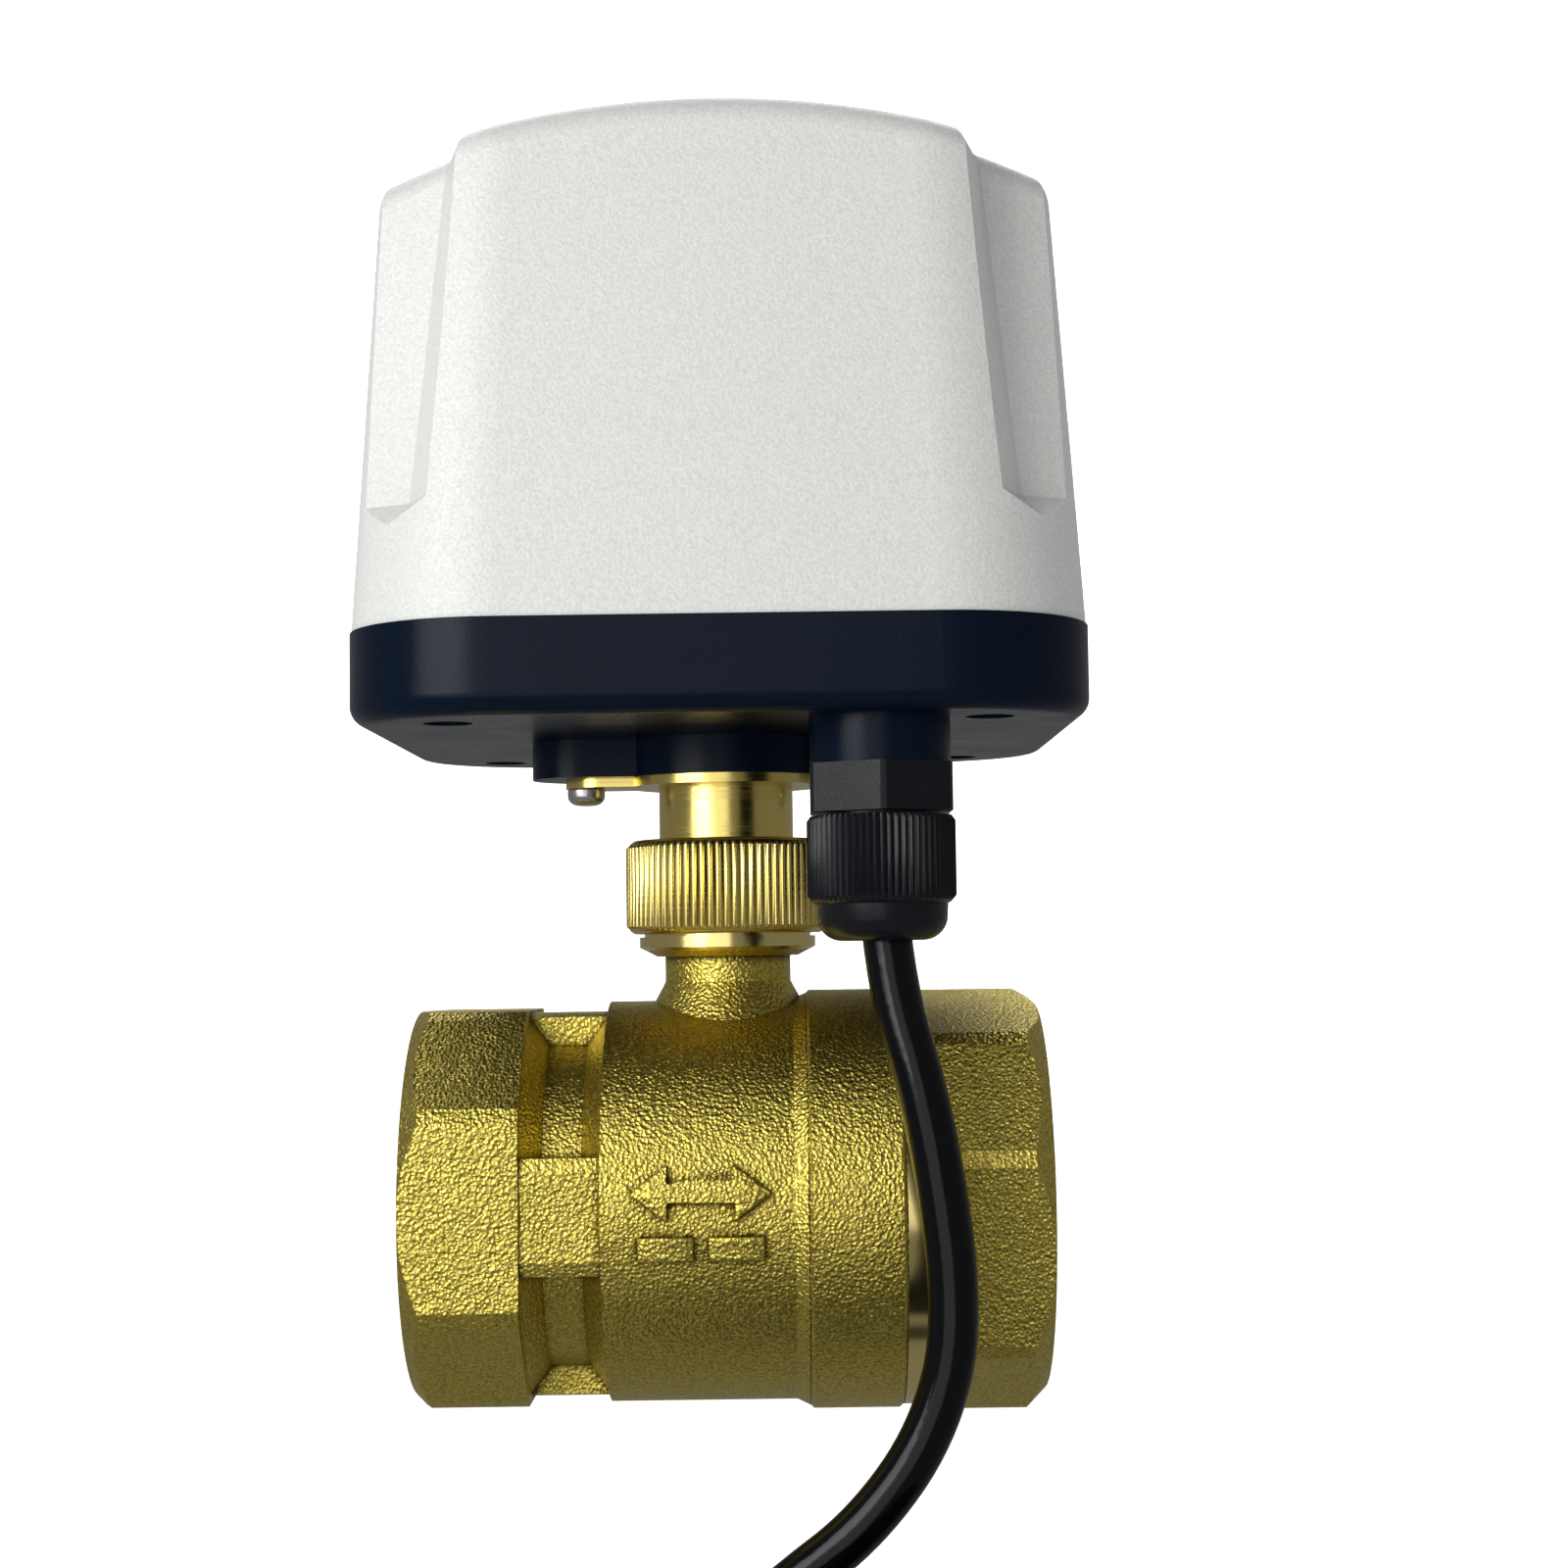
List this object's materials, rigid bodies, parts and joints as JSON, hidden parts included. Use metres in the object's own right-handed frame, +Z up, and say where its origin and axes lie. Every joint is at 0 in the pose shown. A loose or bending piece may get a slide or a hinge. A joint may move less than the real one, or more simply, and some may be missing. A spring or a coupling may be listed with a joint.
{
  "type": "motorized ball valve",
  "caption": "Brass ball valve with an electric actuator: domed grey cover on a dark base, knurled union nut, cable gland and flying lead.",
  "frame": {"origin": "centre of the inlet port's outer face", "axes": "+X along the flow from inlet to outlet, +Z up along the stem to the actuator, -Y to the side of the cable gland"},
  "size_m": [0.0993, 0.1077, 0.2459],
  "materials": {
    "brass_cast": "sand-cast, shot-blasted",
    "brass_machined": "machined and polished",
    "chrome_plate": "polished plating",
    "steel": "zinc plated",
    "seat_plastic": "white PTFE",
    "rubber_black": "moulded",
    "cover_grey": "fine spark-eroded texture",
    "base_dark": "satin",
    "gland_black": "satin nylon",
    "cable_black": "glossy PVC",
    "gear_plastic": "acetal",
    "cam_plastic": "acetal",
    "board_green": "solder-masked laminate",
    "terminal_green": "moulded",
    "can_blue": "sleeved can",
    "copper": "bare wire ends"
  },
  "bodies": {
    "valve": {"valve_body": "brass_cast", "valve_end_cap": "brass_cast", "end_cap_seal": "rubber_black", "ball_seat_inlet": "seat_plastic", "ball_seat_outlet": "seat_plastic"},
    "closure": {"valve_ball": "chrome_plate", "valve_stem": "brass_machined", "stem_o_rings": "rubber_black", "stem_thrust_washer": "seat_plastic"},
    "head": {"mounting_flange": "brass_machined", "flange_screws": "steel", "actuator_base": "base_dark", "output_bush": "brass_machined", "cover_screws": "steel", "actuator_cover": "cover_grey", "idler_axle": "steel", "plate_posts": "steel", "gear_plate": "steel", "plate_screws": "steel", "motor_case": "steel", "motor_screws": "steel", "switch_bracket": "steel", "switch_open": "base_dark", "switch_close": "base_dark", "switch_screws": "steel", "circuit_board": "board_green", "terminal_block": "terminal_green", "capacitor": "can_blue", "cover_gasket": "rubber_black", "gland_body": "gland_black", "gland_nut": "gland_black", "gland_seal": "rubber_black", "gland_locknut": "gland_black", "cable_tube": "cable_black", "cable_coil": "cable_black", "cable_tie": "gland_black"},
    "output": {"output_shaft": "steel", "output_gear": "gear_plastic", "cam_open": "cam_plastic", "cam_close": "cam_plastic"},
    "idler": {"idler_gear": "gear_plastic"},
    "pinion": {"motor_pinion": "brass_machined", "motor_shaft": "steel"},
    "lever_open_body": {"lever_open": "steel"},
    "lever_close_body": {"lever_close": "steel"},
    "nut": {"union_nut": "brass_machined"}
  },
  "joints": [
    {"name": "actuator_lift", "type": "slide", "parent": "valve", "child": "head", "axis": [0, 0, 1], "range_m": [0, 0.03]},
    {"name": "union_nut_turn", "type": "hinge", "parent": "head", "child": "nut", "pos_m": [0.0405, 0, 0.041], "axis": [0, 0, 1], "continuous": true},
    {"name": "output_turn", "type": "hinge", "parent": "head", "child": "output", "pos_m": [0.0405, 0, 0.065], "axis": [0, 0, 1], "range_deg": [0, 90]},
    {"name": "ball_turn", "type": "hinge", "parent": "valve", "child": "closure", "pos_m": [0.0405, 0, 0], "axis": [0, 0, 1], "range_deg": [0, 90]},
    {"name": "idler_turn", "type": "hinge", "parent": "head", "child": "idler", "pos_m": [0.06101, 0.02051, 0.065], "axis": [0, 0, 1], "range_deg": [-290, 5]},
    {"name": "pinion_turn", "type": "hinge", "parent": "head", "child": "pinion", "pos_m": [0.04545, 0.00495, 0.086], "axis": [0, 0, 1], "range_deg": [-5, 615]},
    {"name": "open_lever_turn", "type": "hinge", "parent": "head", "child": "lever_open_body", "pos_m": [0.0325, -0.0204, 0.072], "axis": [0, 0, 1], "range_deg": [0, 9]},
    {"name": "close_lever_turn", "type": "hinge", "parent": "head", "child": "lever_close_body", "pos_m": [0.0325, -0.0198, 0.0775], "axis": [0, 0, 1], "range_deg": [-9, 0]}
  ],
  "couplings": [
    {"joint": "ball_turn", "follows": "output_turn", "ratio": 1},
    {"joint": "idler_turn", "follows": "output_turn", "ratio": -3.1429},
    {"joint": "pinion_turn", "follows": "output_turn", "ratio": 6.7347},
    {"joint": "open_lever_turn", "follows": "output_turn", "ratio": 0.095493},
    {"joint": "close_lever_turn", "follows": "output_turn", "ratio": -0.095493}
  ]
}
